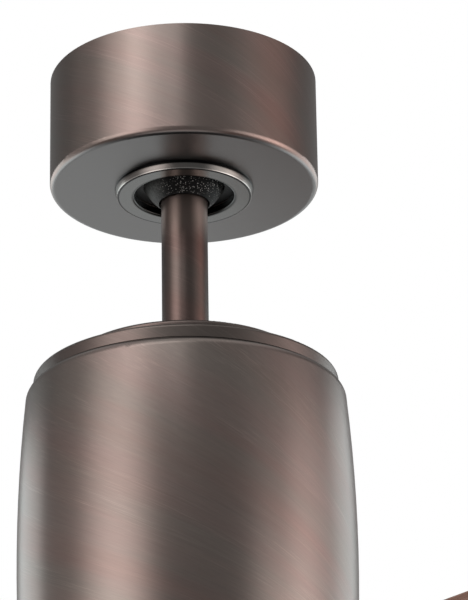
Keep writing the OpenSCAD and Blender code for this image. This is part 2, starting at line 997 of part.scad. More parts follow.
module at_hub_screws() {
    for (turn = blade_turns)
        for (side = [-1, 1])
            rotate([0, 0, turn + 60 + side * 14])
                translate([hub_screw_r, 0, 0])
                    children();
}

module blade_hub() {
    window_w = arm_w + 3;
    color(bronze)
        difference() {
            translate([0, 0, z_hub_end])
                difference() {
                    cylinder(r = hub_r, h = z_hub_top - z_hub_end);
                    translate([0, 0, -cut])
                        cylinder(r = hub_r - hub_wall, h = z_web - z_hub_end + cut);
                    cylinder(r = hub_hole_r, h = z_hub_top - z_hub_end + cut);
                }
            at_blades() {
                translate([arm_step_r, -window_w / 2, z_arm_end - 1.5])
                    cube([hub_r, window_w, arm_t + 3]);
                for (r = arm_screw_at)
                    translate([r, 0, z_web - cut])
                        cylinder(d = arm_screw_d, h = hub_web + 2 * cut, $fn = 32);
            }
            at_hub_screws()
                translate([0, 0, z_web - cut])
                    cylinder(d = hub_screw_d + 0.4, h = hub_web + 2 * cut, $fn = 32);
        }
}

module hub_screws() {
    color(steel)
        translate([0, 0, z_web])
            mirror([0, 0, 1])
                at_hub_screws()
                    screw(hub_screw_d, hub_web + rotor_wall + 2, 8, 2.6);
}

// A blade's own frame: X runs out along the blade, Z is up, and the blade leans about X by its pitch
module on_blade() {
    translate([0, 0, z_blade])
        rotate([-blade_pitch, 0, 0])
            children();
}

// Outline of the pad that carries a blade
module pad_outline() {
    ear_at = pad_w / 2 - pad_ear_r;
    tip_at = pad_l - pad_tip_r;
    translate([blade_root, 0]) {
        polygon([
            [-pad_overlap, -arm_w / 2], [pad_ear_r, -ear_at], [2 * pad_ear_r, -ear_at - 2],
            [tip_at, -pad_tip_r], [tip_at, pad_tip_r],
            [2 * pad_ear_r, ear_at + 2], [pad_ear_r, ear_at], [-pad_overlap, arm_w / 2]
        ]);
        translate([tip_at, 0])
            circle(r = pad_tip_r, $fn = 48);
        for (side = [-1, 1])
            translate([14, side * (ear_at - 4)])
                circle(r = pad_ear_r, $fn = 32);
    }
}

module blade_arm(i) {
    foot_h = z_web - z_arm_end;
    bar_end = blade_root - arm_bend;
    color(bronze)
        rotate([0, 0, blade_turns[i]])
            difference() {
                union() {
                    translate([(arm_in_r + arm_step_r) / 2, 0, z_arm_end])
                        linear_extrude(foot_h)
                            round_rect(arm_step_r - arm_in_r, arm_w, 6);
                    translate([arm_step_r - arm_lap, -arm_w / 2, z_arm_end])
                        cube([bar_end + cut - arm_step_r + arm_lap, arm_w, arm_t]);
                    hull() {
                        translate([bar_end, -arm_w / 2, z_arm_end])
                            cube([cut, arm_w, arm_t]);
                        on_blade()
                            translate([blade_root - pad_overlap / 2, -arm_w / 2, -blade_t / 2 - pad_t])
                                cube([2 * cut, arm_w, pad_t + blade_t]);
                    }
                    on_blade()
                        translate([0, 0, -blade_t / 2 - pad_t])
                            linear_extrude(pad_t)
                                pad_outline();
                }
                for (r = arm_screw_at)
                    translate([r, 0, z_arm_end - cut]) {
                        cylinder(d = arm_screw_d + 0.4, h = foot_h + 2 * cut, $fn = 32);
                        cylinder(d = 2 * arm_screw_d, h = arm_screw_sink + cut, $fn = 32);
                    }
                on_blade()
                    for (at = blade_screw_at)
                        translate([blade_root + at[0], at[1], -blade_t / 2 - pad_t - cut])
                            cylinder(d = blade_screw_d + 0.4, h = pad_t + 2 * cut, $fn = 32);
            }
}

module arm_screws() {
    color(steel)
        at_blades()
            for (r = arm_screw_at)
                translate([r, 0, z_arm_end + arm_screw_sink])
                    mirror([0, 0, 1])
                        screw(arm_screw_d, z_web - z_arm_end - arm_screw_sink + hub_web - 0.5, 9, 3);
}

module blade_screws() {
    color(steel)
        at_blades()
            on_blade()
                for (at = blade_screw_at)
                    translate([blade_root + at[0], at[1], -blade_t / 2 - pad_t])
                        mirror([0, 0, 1])
                            screw(blade_screw_d, pad_t + blade_t - 1.5, 9, 2.6);
}

// Blade sections: t runs from 0 at the inner end to 1 at the tip
section_count = 22;
section_points = 20;
tip_round = 0.055;
edge_power = 4;

function mix(a, b, t) = a + (b - a) * t;
function smooth(t) = t * t * (3 - 2 * t);
function clamp01(t) = max(0, min(1, t));
function station(i) = i < 3 ? i * 0.012 : 1 - pow(1 - (i - 3) / (section_count - 4), 1.6) * 0.97;
function end_round(t) =
    let (root = clamp01(t / 0.02), tip = clamp01((1 - t) / tip_round))
    max(0.12, min(mix(0.86, 1, sqrt(1 - pow(1 - root, 2))), sqrt(1 - pow(1 - tip, 2))));
function chord(t) =
    end_round(t) * (t < 0.42
        ? mix(root_chord, wide_chord, smooth(t / 0.42))
        : mix(wide_chord, tip_chord, smooth((t - 0.42) / 0.58)));
function twist(t) = blade_twist * clamp01((t - 0.12) / 0.88);
function camber(t) = blade_camber * smooth(clamp01((t - 0.12) / 0.3));
function power(v, p) = sign(v) * pow(abs(v), p);
function section(t) =
    let (
        x = blade_root + t * (sweep_d / 2 - blade_root),
        half = chord(t) / 2,
        thick = blade_t / 2 * max(0.5, min(1, 4 * (1 - t) + 0.5)),
        turn = twist(t)
    )
    [for (k = [0 : section_points - 1])
        let (
            a = k * 360 / section_points,
            u = power(cos(a), 2 / edge_power),
            y = half * u,
            z = thick * power(sin(a), 2 / edge_power) + camber(t) * (1 - u * u)
        )
        [x, y * cos(turn) - z * sin(turn), y * sin(turn) + z * cos(turn)]];

module blade(i) {
    points = [for (s = [0 : section_count - 1]) each section(station(s))];
    last = (section_count - 1) * section_points;
    sides = [
        for (s = [0 : section_count - 2], k = [0 : section_points - 1])
            let (
                a = s * section_points + k,
                b = s * section_points + (k + 1) % section_points
            )
            each [[a, a + section_points, b], [b, a + section_points, b + section_points]]
    ];
    ends = [
        [for (k = [0 : section_points - 1]) k],
        [for (k = [section_points - 1 : -1 : 0]) last + k]
    ];
    color(blade_brown)
        rotate([0, 0, blade_turns[i]])
            on_blade()
                difference() {
                    polyhedron(points, concat(sides, ends));
                    for (at = blade_screw_at)
                        translate([blade_root + at[0], at[1], -blade_t])
                            cylinder(d = blade_screw_d, h = blade_t * 1.5 - 1, $fn = 24);
                }
}

// Switch housing

module switch_plate() {
    tab_r = switch_r - cover_wall - fit_gap;
    color(zinc)
        difference() {
            union() {
                translate([0, 0, z_plate - plate_t])
                    cylinder(r = tab_r - 8, h = plate_t);
                intersection() {
                    cup_ring(tab_r, plate_t, z_plate, z_plate - tab_h);
                    for (turn = tab_turns)
                        rotate([0, 0, turn])
                            translate([0, -tab_w / 2, z_plate - tab_h])
                                cube([switch_r, tab_w, tab_h]);
                }
            }
            translate([0, 0, z_plate - plate_t - cut])
                cylinder(r = shaft_r + slide_gap, h = plate_t + 2 * cut);
            at_tab_screws(tab_r - 4)
                cylinder(d = tab_screw_d, h = 8, $fn = 32);
        }
}

// A flat top with a wall turned down at its edge
module cup_ring(r, wall, z_top, z_end) {
    ring(r, r - wall, z_top, z_end);
    ring(r, r - 12, z_top, z_top - wall);
}

module at_tab_screws(r) {
    for (turn = tab_turns)
        rotate([0, 0, turn])
            translate([r, 0, z_tab_screw])
                rotate([0, 90, 0])
                    children();
}

module plate_nuts() {
    color(zinc)
        for (z = [z_plate, z_plate - plate_t - nut_t])
            translate([0, 0, z])
                difference() {
                    cylinder(r = nut_r, h = z == z_plate ? 1.6 : nut_t, $fn = 6);
                    translate([0, 0, -cut])
                        cylinder(r = shaft_r, h = nut_t + 2 * cut);
                }
}

module switch_housing() {
    window_w = slider_w + slider_travel + 1;
    window_h = slider_h + 1;
    color(bronze)
        difference() {
            translate([0, 0, z_switch_end])
                cup(switch_r, switch_h, cover_wall, switch_edge_r);
            translate([0, 0, z_switch_end - cut])
                cylinder(r = foot_hole_r, h = 4 * cover_wall);
            at_tab_screws(switch_r - 6)
                cylinder(d = tab_screw_d + 0.4, h = 10, $fn = 32);
            translate([-window_w / 2, switch_r - 8, z_slider - window_h / 2])
                cube([window_w, 16, window_h]);
        }
}

module switch_housing_screws() {
    color(steel)
        at_tab_screws(switch_r)
            screw(tab_screw_d, 6, 6.5, 2);
}

module foot_cap() {
    wall = 1.6;
    collar = 5;
    color(bronze)
        translate([0, 0, z_switch_end - foot_cap_h])
            rotate_extrude()
                difference() {
                    union() {
                        intersection() {
                            cup_section(foot_cap_d / 2, foot_cap_h, 2);
                            square([foot_cap_d, foot_cap_h]);
                        }
                        square([foot_hole_r - fit_gap, foot_cap_h + collar]);
                    }
                    translate([-cut, wall])
                        square([foot_hole_r - fit_gap - wall + cut, foot_cap_h + collar]);
                }
}

module run_capacitor() {
    color(black)
        translate([-capacitor_w / 2 - nut_r - capacitor_gap, 0, z_plate - plate_t - capacitor_h])
            linear_extrude(capacitor_h)
                round_rect(capacitor_w, capacitor_l, 3);
}

module reverse_switch_body() {
    body = [22, 9, 8];
    face = switch_r - cover_wall - 2.4;
    color(black)
        difference() {
            union() {
                translate([-body[0] / 2, face - body[1], z_slider - body[2] / 2])
                    cube(body);
                translate([-body[0] / 2 + 1, face - body[1] + 2, z_slider])
                    cube([body[0] - 2, 3, z_plate - plate_t - z_slider]);
            }
            translate([-(slider_w + slider_travel) / 2 - fit_gap, face - 4, z_slider - slider_h / 2 - fit_gap])
                cube([slider_w + slider_travel + 2 * fit_gap, 8, slider_h + 2 * fit_gap]);
        }
}

module reverse_switch_slider() {
    face = switch_r - cover_wall - 2.4;
    back = face - 4 + fit_gap;
    color(black)
        translate([-(slider_w + slider_travel) / 2, back, z_slider - slider_h / 2])
            cube([slider_w, switch_r + slider_reach - back, slider_h]);
}

module blade_arm_1() { blade_arm(0); }
module blade_arm_2() { blade_arm(1); }
module blade_arm_3() { blade_arm(2); }
module blade_1() { blade(0); }
module blade_2() { blade(1); }
module blade_3() { blade(2); }

hanger_bracket();
ground_screw();
canopy();
canopy_screws();
canopy_trim_ring();
hanger_ball();
ball_cross_pin();
ball_set_screw();
downrod();
motor_coupling();
clevis_pin();
hairpin_clip();
coupling_set_screws();
coupling_lock_nuts();
coupling_cover();
cover_gasket();
top_cap();
cap_screws();
housing_shell();
housing_screws();
motor_shaft();
stator_core();
stator_windings();
bearing_inner_races();
shaft_circlips();
switch_plate();
plate_nuts();
switch_housing();
switch_housing_screws();
foot_cap();
run_capacitor();
reverse_switch_body();
reverse_switch_slider();
rotor_upper_cover();
rotor_lower_cover();
rotor_ring();
rotor_cage();
rotor_screws();
bearing_outer_races();
upper_bearing_balls();
lower_bearing_balls();
blade_hub();
hub_screws();
arm_screws();
blade_screws();
blade_arm_1();
blade_arm_2();
blade_arm_3();
blade_1();
blade_2();
blade_3();
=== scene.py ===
"""A three-blade ceiling fan: brushed dark bronze canopy and barrel housing, seen from below."""

import math

import bmesh
import bpy
from mathutils import Matrix, Vector
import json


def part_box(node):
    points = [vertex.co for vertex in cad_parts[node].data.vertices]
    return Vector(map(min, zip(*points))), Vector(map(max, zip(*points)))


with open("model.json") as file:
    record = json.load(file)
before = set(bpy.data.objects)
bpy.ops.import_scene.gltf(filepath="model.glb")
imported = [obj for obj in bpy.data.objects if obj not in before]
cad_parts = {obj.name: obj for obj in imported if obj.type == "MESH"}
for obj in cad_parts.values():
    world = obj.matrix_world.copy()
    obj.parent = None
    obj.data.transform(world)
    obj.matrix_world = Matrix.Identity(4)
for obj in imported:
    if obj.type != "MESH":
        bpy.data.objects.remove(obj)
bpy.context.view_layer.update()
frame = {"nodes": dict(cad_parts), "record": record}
NODES = frame["nodes"]

MM = 0.001


def placed(name, data):
    """A new object in the scene."""
    thing = bpy.data.objects.new(name, data)
    bpy.context.scene.collection.objects.link(thing)
    return thing


# Camera

# The photograph's width and height, and the camera that its edges give: the focal length in
# pixels, the place in millimetres and the angles in degrees
PHOTO_SIZE = (468, 600)
FOCAL_PX = 3682.0
CAMERA_BACK = 1838.5
CAMERA_Z = -930.6
CAMERA_PITCH = 23.47
CAMERA_YAW = 0.8275
CAMERA_ROLL = -0.885
# The sensor's width in millimetres, and the nearest and farthest that it sees in metres
SENSOR = 36.0
NEAREST = 0.05
FARTHEST = 60


def make_camera():
    """The photograph's view: from below, looking up along +Y."""
    data = bpy.data.cameras.new("camera")
    data.sensor_width = SENSOR
    data.lens = FOCAL_PX * SENSOR / max(PHOTO_SIZE)
    data.clip_start = NEAREST
    data.clip_end = FARTHEST
    camera = placed("camera", data)
    yaw, pitch, roll = map(math.radians, (CAMERA_YAW, CAMERA_PITCH, CAMERA_ROLL))
    ahead = Vector((
        math.sin(yaw) * math.cos(pitch), math.cos(yaw) * math.cos(pitch), math.sin(pitch)
    ))
    level = ahead.cross(Vector((0, 0, 1))).normalized()
    above = level.cross(ahead)
    right = math.cos(roll) * level + math.sin(roll) * above
    up = -math.sin(roll) * level + math.cos(roll) * above
    turn = Matrix((right, up, -ahead)).transposed().to_4x4()
    camera.matrix_world = Matrix.Translation((0, -CAMERA_BACK * MM, CAMERA_Z * MM)) @ turn
    bpy.context.scene.camera = camera


make_camera()


# Node graphs

# Most of a noise texture's values lie in this range
NOISE_SPAN = (0.3, 0.7)


def srgb(r, g, b):
    """Linear colour of an sRGB colour given from 0 to 255."""
    def channel(v):
        v = v / 255
        return v / 12.92 if v <= 0.04045 else ((v + 0.055) / 1.055) ** 2.4
    return (channel(r), channel(g), channel(b), 1.0)


class Graph:
    """The node graph of a material or a world, built by short calls."""

    def __init__(self, owner):
        owner.use_nodes = True
        self.owner = owner
        self.tree = owner.node_tree
        self.tree.nodes.clear()

    def feed(self, socket, value):
        """Links another node's output to an input, or sets its number or colour."""
        if isinstance(value, bpy.types.NodeSocket):
            self.tree.links.new(value, socket)
        else:
            socket.default_value = value

    def add(self, kind, inputs=None, **settings):
        """A new node, with its inputs given by name or by number."""
        node = self.tree.nodes.new(kind)
        for key, value in settings.items():
            setattr(node, key, value)
        for key, value in (inputs or {}).items():
            self.feed(node.inputs[key], value)
        return node

    def shade(self, **values):
        """Feeds the shader's inputs: Base_Color is for Base Color."""
        for key, value in values.items():
            self.feed(self.shader.inputs[key.replace("_", " ")], value)

    def math(self, kind, first, *others):
        """An operation on one value, or on several from the left."""
        for other in others or (0.0,):
            first = self.add("ShaderNodeMath", {0: first, 1: other}, operation=kind).outputs[0]
        return first

    def range(self, value, low, high, to_low, to_high, kind="LINEAR"):
        """Maps low to to_low and high to to_high, and stays there beyond them."""
        inputs = {
            "Value": value, "From Min": low, "From Max": high, "To Min": to_low, "To Max": to_high
        }
        return self.add("ShaderNodeMapRange", inputs, interpolation_type=kind).outputs["Result"]

    def smooth(self, value, low, high, to_low=0.0, to_high=1.0):
        """Maps as range does, on a curve that is level at both ends."""
        return self.range(value, low, high, to_low, to_high, "SMOOTHSTEP")

    def past(self, value, base, low, high, to_low=0.0, to_high=1.0):
        """A smooth change from low to high millimetres past base."""
        return self.smooth(value, base + low * MM, base + high * MM, to_low, to_high)

    def spread(self, noise, low, high):
        """Spreads a noise from low to high."""
        return self.range(noise, *NOISE_SPAN, low, high)

    def mix(self, factor, a, b, kind="MIX"):
        """A mix of two colours."""
        inputs = {0: factor, 6: a, 7: b}
        return self.add("ShaderNodeMix", inputs, data_type="RGBA", blend_type=kind).outputs[2]

    def ramp(self, value, *stops):
        """A colour from two stops, each given as (position, colour)."""
        node = self.add("ShaderNodeValToRGB", {"Fac": value})
        for element, (position, color) in zip(node.color_ramp.elements, stops, strict=True):
            element.position = position
            element.color = color
        return node.outputs["Color"]

    def point(self):
        """The shaded point in the piece's own frame, in metres."""
        return self.add("ShaderNodeTexCoord").outputs["Object"]

    def parts(self, vector):
        """The three parts of a vector."""
        return self.add("ShaderNodeSeparateXYZ", {0: vector}).outputs

    def radius(self, x, y):
        """The distance from the fan's axis."""
        squares = self.math("ADD", self.math("MULTIPLY", x, x), self.math("MULTIPLY", y, y))
        return self.math("SQRT", squares)

    def upright(self, low, high, most):
        """The most on upright faces, falling to 0 as the normal's height goes to high."""
        normal = self.add("ShaderNodeTexCoord").outputs["Normal"]
        return self.smooth(self.math("ABSOLUTE", self.parts(normal)[2]), low, high, most, 0.0)

    def noise(self, vector, scale, detail, rough):
        """A noise whose scale is about its number of features to a metre."""
        inputs = {"Vector": vector, "Scale": scale, "Detail": detail, "Roughness": rough}
        return self.add("ShaderNodeTexNoise", inputs).outputs["Fac"]

    def bump(self, height, strength, distance):
        """A normal for a raised pattern, with the distance in metres."""
        inputs = {"Strength": strength, "Distance": distance, "Height": height}
        return self.add("ShaderNodeBump", inputs).outputs["Normal"]


def material(name):
    """A new material's graph, with its shader."""
    g = Graph(bpy.data.materials.new(name))
    g.shader = g.add("ShaderNodeBsdfPrincipled")
    g.add("ShaderNodeOutputMaterial", {"Surface": g.shader.outputs["BSDF"]})
    return g


# Brushed bronze

# The strokes fall by 28 degrees to the right on round walls. This close to the axis, in metres,
# they stop winding tighter
BRUSH_SLOPE = 1 / math.tan(math.radians(28))
BRUSH_CORE = 0.01

# Noises drawn out along the strokes: the scale along a stroke as a share of that across it, the
# scale across it and the detail
HAIRLINES = (0.05, 3400.0, 2.0)
BANDS = (0.09, 600.0, 2.0)
STREAKS = (0.04, 1700.0, 1.0)
STREAK_CLOUDS = (0.4, 42.0, 2.0)
COPPER_CLOUDS = (0.3, 26.0, 2.0)
TINT_CLOUDS = (0.35, 38.0, 3.0)
STROKE_ROUGHNESS = 0.5
# The values of a noise between which its streaks or clouds come up
STREAK_SPAN = (0.56, 0.70)
STREAK_CLOUD_SPAN = (0.44, 0.62)
COPPER_CLOUD_SPAN = (0.40, 0.70)

# The darkest and brightest tones that hairlines and bands give, and the brightest of streaks
HAIRLINE_TONES = (0.93, 1.07)
BAND_TONES = (0.97, 1.03)
STREAK_TONE = 1.24
# The tints of the colder and the warmer clouds, with their places in the noise
COLD_TINT = (0.36, (0.98, 1.005, 1.0, 1.0))
WARM_TINT = (0.64, (1.045, 0.98, 0.985, 1.0))

# A painted highlight tint: a reddish patch painted on the side facing the right soft box, where
# its highlight falls. Its azimuth from +X and how far to each side it starts and ends to fade, in
# radians, the heights between which it gains strength, in metres, its share of that strength at
# the lower height, and its strength
HIGHLIGHT_TINT_AT = math.radians(-46)
HIGHLIGHT_TINT_FADE = (0.02, 0.42)
HIGHLIGHT_TINT_HEIGHTS = (-0.2, -0.1)
HIGHLIGHT_TINT_LOW = 0.35
HIGHLIGHT_TINT_STRENGTH = 0.75
# The strength of the copper in the clouds
COPPER_CLOUDY = 0.22

# The heights of the normal between which a wall turns into a level face, the scale of the grains
# on level faces, and the most that they show of the wall's colour
WALL_SPAN = (0.55, 0.95)
FACE_GRAINS = 2000.0
FACE_WALL = 0.25
# How far the roughness goes to each side, and the strength and depth of the bump
BRUSH_ROUGHNESS = 0.015
BRUSH_BUMP = (0.6, 0.00002)

# Places that the painted shade and painted light follow, in metres: the trim ring's lower face,
# top, crease and bore, the top cap's lower edge, and the heights between which the downrod turns
# paler
RING_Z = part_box("canopy_trim_ring")[0][2]
RING_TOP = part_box("canopy_trim_ring")[1][2]
CREASE_R = 0.0369
BORE_R = 0.0273
CAP_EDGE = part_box("top_cap")[0][2]
ROD_FADE = (-0.104, -0.078)
# Where the painted shade and light start and end, in millimetres past those places, and how strong
# they get
CREASE_UP = (0.25, 0.35)
CREASE_IN = (-1.2, -0.8)
CREASE_OUT = (0.0, 0.1)
EDGE_UP = (0.3, 1.0)
EDGE_OUT = (-0.1, 0.1)
SEAM_UP = (-1.5, -1.0)
BORE_OUT = (0.8, 2.4)
BORE_STRENGTH = 0.9
SHOULDER_UP = (-3.2, -0.8)
SHOULDER_STRENGTH = 0.7

# Painted highlight on the ring's edge above the crease; painted shade in its crease, along its top
# seam and in its bore
PAINTED_EDGE_HIGHLIGHT = srgb(165, 159, 155)
PAINTED_CREASE_SHADE = srgb(20, 19, 19)
PAINTED_BORE_SHADE = srgb(30, 29, 28)
# Painted shade on the barrel's shoulder under the top cap
PAINTED_SHOULDER_SHADE = srgb(66, 60, 57)
# Painted light on the downrod's upper end
PAINTED_ROD_LIGHT = srgb(148, 130, 123)


def painted_ring_light(g, color):
    """The trim ring's colour, with painted shade in the crease, along the top seam and in the
    bore, and a painted highlight on the edge above the crease.
    """
    x, y, z = g.parts(g.point())
    radius = g.radius(x, y)
    crease = g.math(
        "MULTIPLY", g.past(radius, CREASE_R, *CREASE_IN),
        g.past(radius, CREASE_R, *CREASE_OUT, 1.0, 0.0), g.past(z, RING_Z, *CREASE_UP, 1.0, 0.0),
    )
    edge = g.math(
        "MULTIPLY", g.past(z, RING_Z, *EDGE_UP, 1.0, 0.0), g.past(radius, CREASE_R, *EDGE_OUT)
    )
    seam = g.past(z, RING_TOP, *SEAM_UP)
    bore = g.past(radius, BORE_R, *BORE_OUT, BORE_STRENGTH, 0.0)
    # The edge's painted highlight, then painted shade over the crease, the seam and the bore
    color = g.mix(edge, color, PAINTED_EDGE_HIGHLIGHT)
    color = g.mix(g.math("MAXIMUM", crease, seam), color, PAINTED_CREASE_SHADE)
    return g.mix(bore, color, PAINTED_BORE_SHADE)


def painted_shoulder_shade(g, color):
    """The barrel's colour, with painted shade: darker in the last millimetres under the cap."""
    z = g.parts(g.point())[2]
    shoulder = g.past(z, CAP_EDGE, *SHOULDER_UP, 0.0, SHOULDER_STRENGTH)
    return g.mix(shoulder, color, PAINTED_SHOULDER_SHADE)


def painted_rod_light(g, color):
    """The downrod's colour, with painted light: paler towards its upper end."""
    z = g.parts(g.point())[2]
    return g.mix(g.smooth(z, *ROD_FADE), color, PAINTED_ROD_LIGHT)


def wind(g):
    """The point turned about Z in step with its height, so that lines along Z wind round walls."""
    point = g.point()
    x, y, z = g.parts(point)
    reach = g.math("MAXIMUM", g.radius(x, y), BRUSH_CORE)
    angle = g.math("DIVIDE", g.math("MULTIPLY", z, BRUSH_SLOPE), reach)
    inputs = {"Vector": point, "Angle": angle}
    return g.add("ShaderNodeVectorRotate", inputs, rotation_type="Z_AXIS").outputs[0]


def brushed_bronze(name, wall, copper, face, rough=0.30, painted_light=None):
    """Brushed metal: winding strokes, coppery clouds and a painted highlight tint on walls, even
    grey on level faces.
    """
    g = material(name)
    wound = wind(g)

    def drawn(stretch, scale, detail):
        """A noise drawn out along the strokes."""
        mapped = g.add("ShaderNodeMapping", {"Vector": wound, "Scale": (1.0, 1.0, stretch)})
        return g.noise(mapped.outputs[0], scale, detail, STROKE_ROUGHNESS)

    x, y, z = g.parts(g.point())
    # The painted highlight tint, strongest on the canopy, with the real coppery clouds added to it
    off = g.math("ABSOLUTE", g.math("SUBTRACT", g.math("ARCTAN2", y, x), HIGHLIGHT_TINT_AT))
    painted_tint = g.math(
        "MULTIPLY", g.smooth(off, *HIGHLIGHT_TINT_FADE, 1.0, 0.0),
        g.smooth(z, *HIGHLIGHT_TINT_HEIGHTS, HIGHLIGHT_TINT_LOW, 1.0), HIGHLIGHT_TINT_STRENGTH,
    )
    clouds = g.smooth(drawn(*COPPER_CLOUDS), *COPPER_CLOUD_SPAN, 0.0, COPPER_CLOUDY)
    tone = g.mix(g.math("MINIMUM", g.math("ADD", clouds, painted_tint), 1.0), wall, copper)
    tone = g.mix(1.0, tone, g.ramp(drawn(*TINT_CLOUDS), COLD_TINT, WARM_TINT), "MULTIPLY")

    hairlines = drawn(*HAIRLINES)
    bands = drawn(*BANDS)
    streaks = g.math(
        "MULTIPLY", g.smooth(drawn(*STREAKS), *STREAK_SPAN),
        g.smooth(drawn(*STREAK_CLOUDS), *STREAK_CLOUD_SPAN),
    )
    strokes = g.math(
        "MULTIPLY", g.spread(hairlines, *HAIRLINE_TONES), g.spread(bands, *BAND_TONES),
        g.range(streaks, 0.0, 1.0, 1.0, STREAK_TONE),
    )
    grey = g.add("ShaderNodeCombineColor", {0: strokes, 1: strokes, 2: strokes}).outputs[0]
    brushed = g.mix(1.0, tone, grey, "MULTIPLY")
    grains = g.noise(g.point(), FACE_GRAINS, detail=2.0, rough=0.6)
    even = g.mix(g.spread(grains, 0.0, FACE_WALL), face, wall)
    color = g.mix(g.upright(*WALL_SPAN, 1.0), even, brushed)
    # The sum of two noises has twice the span of one
    sum_span = (2 * end for end in NOISE_SPAN)
    # The finish's painted light and shade go over the colour, where it has them
    g.shade(
        Base_Color=painted_light(g, color) if painted_light else color, Metallic=1.0,
        Roughness=g.range(
            g.math("ADD", hairlines, bands), *sum_span,
            rough - BRUSH_ROUGHNESS, rough + BRUSH_ROUGHNESS,
        ),
        Normal=g.bump(hairlines, *BRUSH_BUMP),
    )
    return g.owner


# Plain metals, rubber and plastic

# The scale of a surface's clouds and their darkest tone, how far its roughness goes to each side,
# and the depth of its grain in metres
PLATE_CLOUDS = 60.0
PLATE_DARK = 0.78
PLATE_ROUGHNESS = (-0.06, 0.08)
PLATE_DEPTH = 0.00005


def plated(name, color, rough=0.35, metallic=1.0, grain=900.0, strength=0.15):
    """Plated, cast or moulded surface with a faint grain and uneven tone."""
    g = material(name)
    grains = g.noise(g.point(), grain, detail=3.0, rough=0.6)
    clouds = g.noise(g.point(), PLATE_CLOUDS, detail=2.0, rough=0.5)
    low, high = NOISE_SPAN
    dark = tuple(PLATE_DARK * c for c in color[:3]) + (1.0,)
    g.shade(
        Base_Color=g.ramp(clouds, (low, dark), (high, color)), Metallic=metallic,
        Roughness=g.spread(grains, *(rough + change for change in PLATE_ROUGHNESS)),
        Normal=g.bump(grains, strength, PLATE_DEPTH),
    )
    return g.owner


# The hanger ball's black

# The scales of the specks, of the lumps and of the clouds that the specks gather in
SPECKS = 1200.0
LUMPS = 900.0
SPECK_CLOUDS = 160.0
# How far from a cell's middle its speck starts and ends to fade, and the values of a cell, of the
# clouds and of the lumps between which specks and the painted sheen's pale lumps come up
SPECK_FADE = (0.16, 0.38)
SPECK_CHOICE = (0.2, 0.9)
SPECK_CLOUD_SPAN = (0.26, 0.46)
LUMP_SPAN = (0.35, 0.65)
# The places along X, in metres, between which the painted sheen on the ball's left side, without
# specks, ends
SHEEN_X = (-0.016, -0.008)
BALL_ROUGHNESS = (0.42, 0.62)
BALL_SPECULAR = 0.06
BALL_BUMP = (0.6, 0.0002)

BALL_DARK = srgb(22, 21, 21)
# A painted sheen on the ball's left side: grey with paler lumps
SHEEN_DARK = srgb(52, 51, 50)
SHEEN_PALE = srgb(78, 77, 75)
# Pale specks: painted glints that stand in for the coat's sparkle
PAINTED_GLINT_PALE = srgb(178, 174, 170)


def speckled_black(name):
    """Hammered black, as on the hanger ball, with fine pale specks as painted glints and a painted
    sheen at its left.
    """
    g = material(name)
    cells = g.add("ShaderNodeTexVoronoi", {"Vector": g.point(), "Scale": SPECKS}).outputs
    lumps = g.noise(g.point(), LUMPS, detail=2.0, rough=0.5)
    clouds = g.noise(g.point(), SPECK_CLOUDS, detail=2.0, rough=0.6)
    sheen_side = g.smooth(g.parts(g.point())[0], *SHEEN_X, 1.0, 0.0)
    # The specks are painted glints, gathered in clouds and left out of the painted sheen
    speck = g.math(
        "MULTIPLY", g.smooth(cells["Distance"], *SPECK_FADE, 1.0, 0.0),
        g.smooth(g.parts(cells["Color"])[0], *SPECK_CHOICE), g.smooth(clouds, *SPECK_CLOUD_SPAN),
        g.math("SUBTRACT", 1.0, sheen_side),
    )
    painted_sheen = g.mix(g.range(lumps, *LUMP_SPAN, 0.0, 1.0), SHEEN_DARK, SHEEN_PALE)
    g.shade(
        Base_Color=g.mix(speck, g.mix(sheen_side, BALL_DARK, painted_sheen), PAINTED_GLINT_PALE), Metallic=0.0,
        Roughness=g.spread(lumps, *BALL_ROUGHNESS), Specular_IOR_Level=BALL_SPECULAR,
        Normal=g.bump(lumps, *BALL_BUMP),
    )
    return g.owner


# The blades' wood

# The first blade's direction from +X, and the angle from each blade to the next
FIRST_BLADE = math.radians(-40)
THIRD = 2 * math.pi / 3
# The grain's scale along a blade as a share of that across it, the scales of its rings and its
# fibres across the blade, and the share that each has in it
GRAIN_STRETCH = 0.035
RINGS = 120.0
FIBRES = 900.0
RING_SHARE = 0.7
FIBRE_SHARE = 0.3
# The places of the dark and of the light colour in the grain
DARK_AT = 0.36
LIGHT_AT = 0.62
# The heights of the normal between which a blade's edge turns into its face, and how much of the
# dark colour lies over the edge
EDGE_SPAN = (0.5, 0.85)
EDGE_DARK = 0.7
WOOD_ROUGHNESS = (0.42, 0.58)
WOOD_SPECULAR = 0.25
WOOD_BUMP = (0.25, 0.0002)


